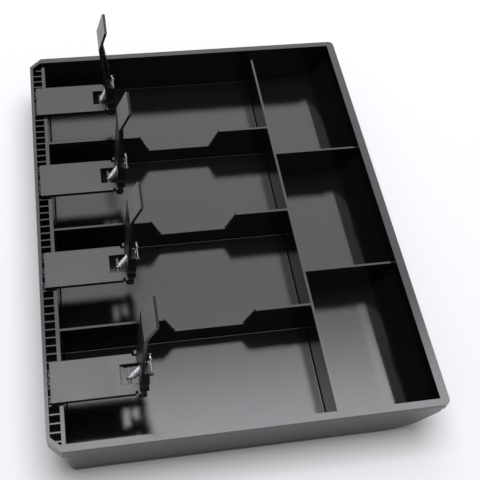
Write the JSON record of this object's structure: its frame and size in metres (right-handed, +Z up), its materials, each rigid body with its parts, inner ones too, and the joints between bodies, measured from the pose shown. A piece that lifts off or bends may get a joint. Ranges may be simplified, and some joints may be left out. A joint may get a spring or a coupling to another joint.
{
  "type": "cash drawer tray",
  "caption": "Black moulded tray for a cash drawer, with note bays, scooped coin bays and sprung note clips on a ribbed rack along the back.",
  "frame": {"origin": "middle of the tray's footprint, on the surface it rests on", "axes": "+X along the row of bays, -Y to the coin bays in front, +Z up"},
  "size_m": [0.328, 0.246, 0.1095],
  "materials": {
    "tray_plastic": "semi-gloss black moulded plastic",
    "clip_plastic": "semi-gloss black moulded plastic, a little softer than the tray",
    "pin_steel": "bright drawn steel wire",
    "spring_steel": "bright zinc-plated spring wire"
  },
  "bodies": {
    "tray": {"tray_body": "tray_plastic", "clip_base_1": "clip_plastic", "clip_base_2": "clip_plastic", "clip_base_3": "clip_plastic", "clip_base_4": "clip_plastic"},
    "arm_1": {"clip_arm_1": "clip_plastic", "hinge_pins_1": "pin_steel", "spring_pin_1": "pin_steel"},
    "spring_1": {"clip_spring_1": "spring_steel"},
    "arm_2": {"clip_arm_2": "clip_plastic", "hinge_pins_2": "pin_steel", "spring_pin_2": "pin_steel"},
    "spring_2": {"clip_spring_2": "spring_steel"},
    "arm_3": {"clip_arm_3": "clip_plastic", "hinge_pins_3": "pin_steel", "spring_pin_3": "pin_steel"},
    "spring_3": {"clip_spring_3": "spring_steel"},
    "arm_4": {"clip_arm_4": "clip_plastic", "hinge_pins_4": "pin_steel", "spring_pin_4": "pin_steel"},
    "spring_4": {"clip_spring_4": "spring_steel"}
  },
  "joints": [
    {"name": "arm_1_hinge", "type": "hinge", "parent": "tray", "child": "arm_1", "pos_m": [0.118, 0.0643, 0.0351], "axis": [1, 0, 0], "range_deg": [0, 112.5]},
    {"name": "spring_1_swing", "type": "hinge", "parent": "tray", "child": "spring_1", "pos_m": [0.116, 0.0712, 0.0339], "axis": [1, 0, 0], "range_deg": [-0.5, 87.9], "deforming": ["clip_spring_1"]},
    {"name": "arm_2_hinge", "type": "hinge", "parent": "tray", "child": "arm_2", "pos_m": [0.0404, 0.0643, 0.0351], "axis": [1, 0, 0], "range_deg": [-7.5, 105]},
    {"name": "spring_2_swing", "type": "hinge", "parent": "tray", "child": "spring_2", "pos_m": [0.0384, 0.0712, 0.0339], "axis": [1, 0, 0], "range_deg": [-6.3, 81.6], "deforming": ["clip_spring_2"]},
    {"name": "arm_3_hinge", "type": "hinge", "parent": "tray", "child": "arm_3", "pos_m": [-0.0363, 0.0643, 0.0351], "axis": [1, 0, 0], "range_deg": [-7.5, 105]},
    {"name": "spring_3_swing", "type": "hinge", "parent": "tray", "child": "spring_3", "pos_m": [-0.0383, 0.0712, 0.0339], "axis": [1, 0, 0], "range_deg": [-6.3, 81.6], "deforming": ["clip_spring_3"]},
    {"name": "arm_4_hinge", "type": "hinge", "parent": "tray", "child": "arm_4", "pos_m": [-0.1187, 0.0643, 0.0351], "axis": [1, 0, 0], "range_deg": [-7.5, 105]},
    {"name": "spring_4_swing", "type": "hinge", "parent": "tray", "child": "spring_4", "pos_m": [-0.1207, 0.0712, 0.0339], "axis": [1, 0, 0], "range_deg": [-6.3, 81.6], "deforming": ["clip_spring_4"]}
  ],
  "couplings": [
    {"joint": "spring_1_swing", "follows": "arm_1_hinge", "ratio": 0.7765},
    {"joint": "spring_2_swing", "follows": "arm_2_hinge", "ratio": 0.7725},
    {"joint": "spring_3_swing", "follows": "arm_3_hinge", "ratio": 0.7725},
    {"joint": "spring_4_swing", "follows": "arm_4_hinge", "ratio": 0.7725}
  ]
}
